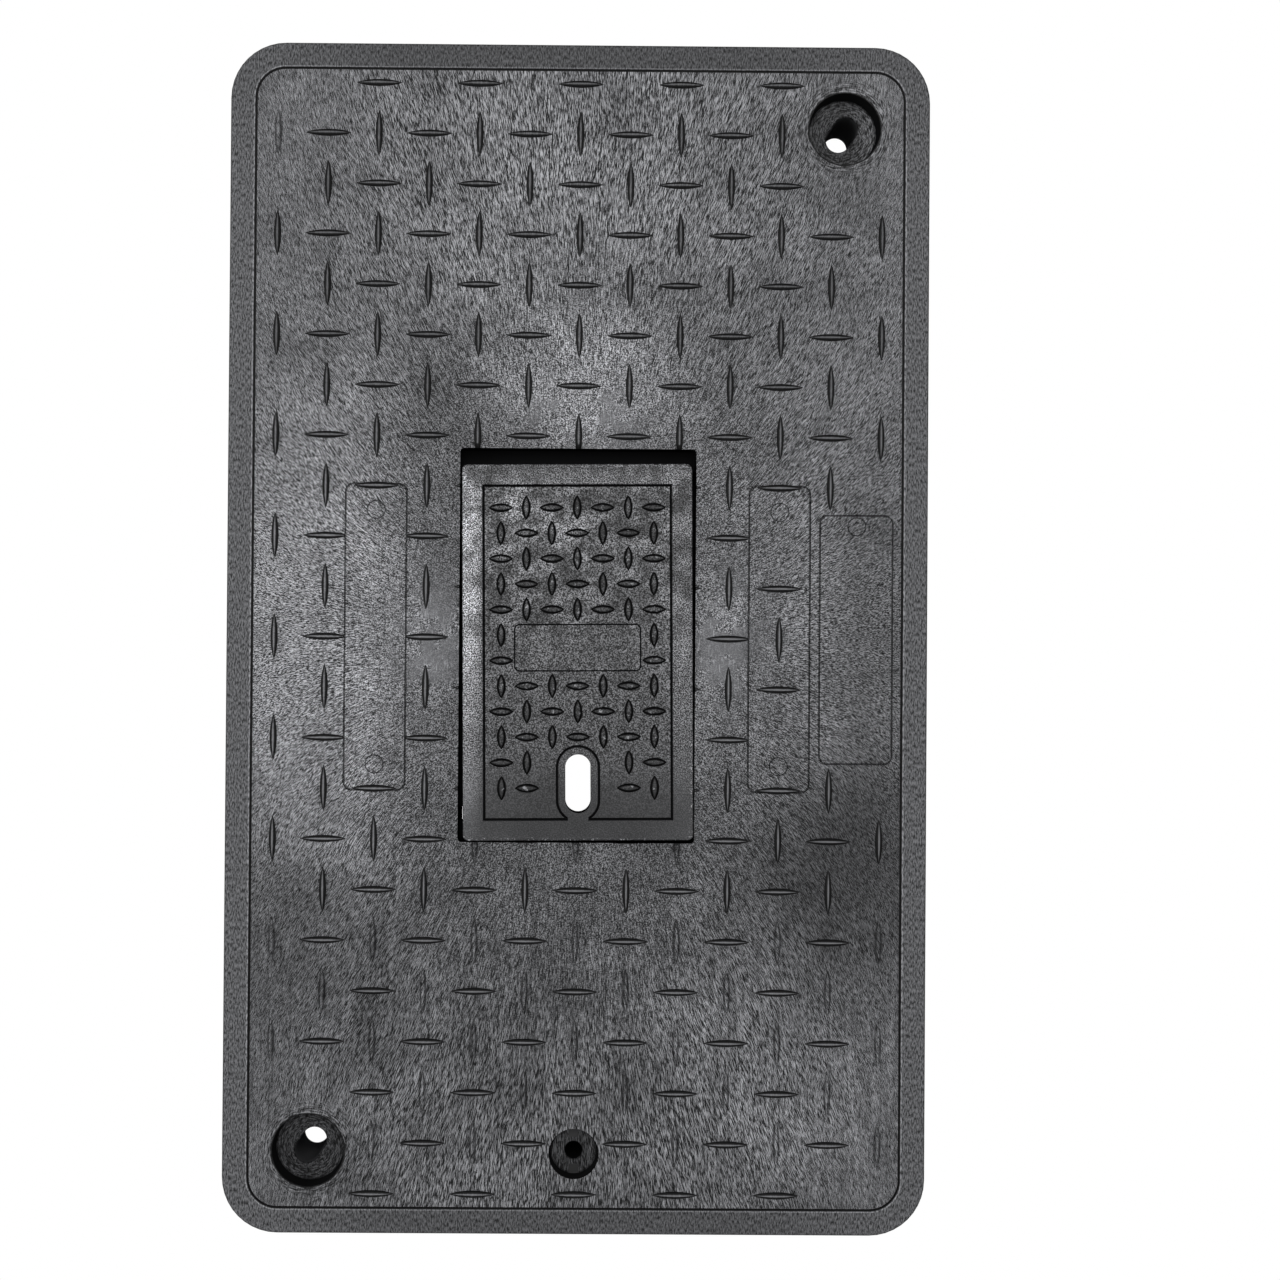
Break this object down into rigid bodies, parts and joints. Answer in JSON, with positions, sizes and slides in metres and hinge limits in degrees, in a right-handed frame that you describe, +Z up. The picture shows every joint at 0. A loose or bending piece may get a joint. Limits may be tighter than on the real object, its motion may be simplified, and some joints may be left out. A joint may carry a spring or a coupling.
{
  "type": "meter box cover",
  "caption": "Ribbed plastic cover for a buried water meter box, with a raised tread deck, corner bolt wells, a pull hole and a loose cast reader lid in its middle opening.",
  "frame": {"origin": "the middle of the footprint, on the surface that the foot of the skirt stands on", "axes": "+Z up out of the tread deck, +Y along the length towards the end without the pull hole, +X across the width"},
  "size_m": [0.353, 0.599, 0.0523],
  "materials": {
    "cover": "satin",
    "reader_lid": "satin"
  },
  "bodies": {
    "root": {"cover": "cover", "reader_lid": "reader_lid"}
  },
  "joints": []
}
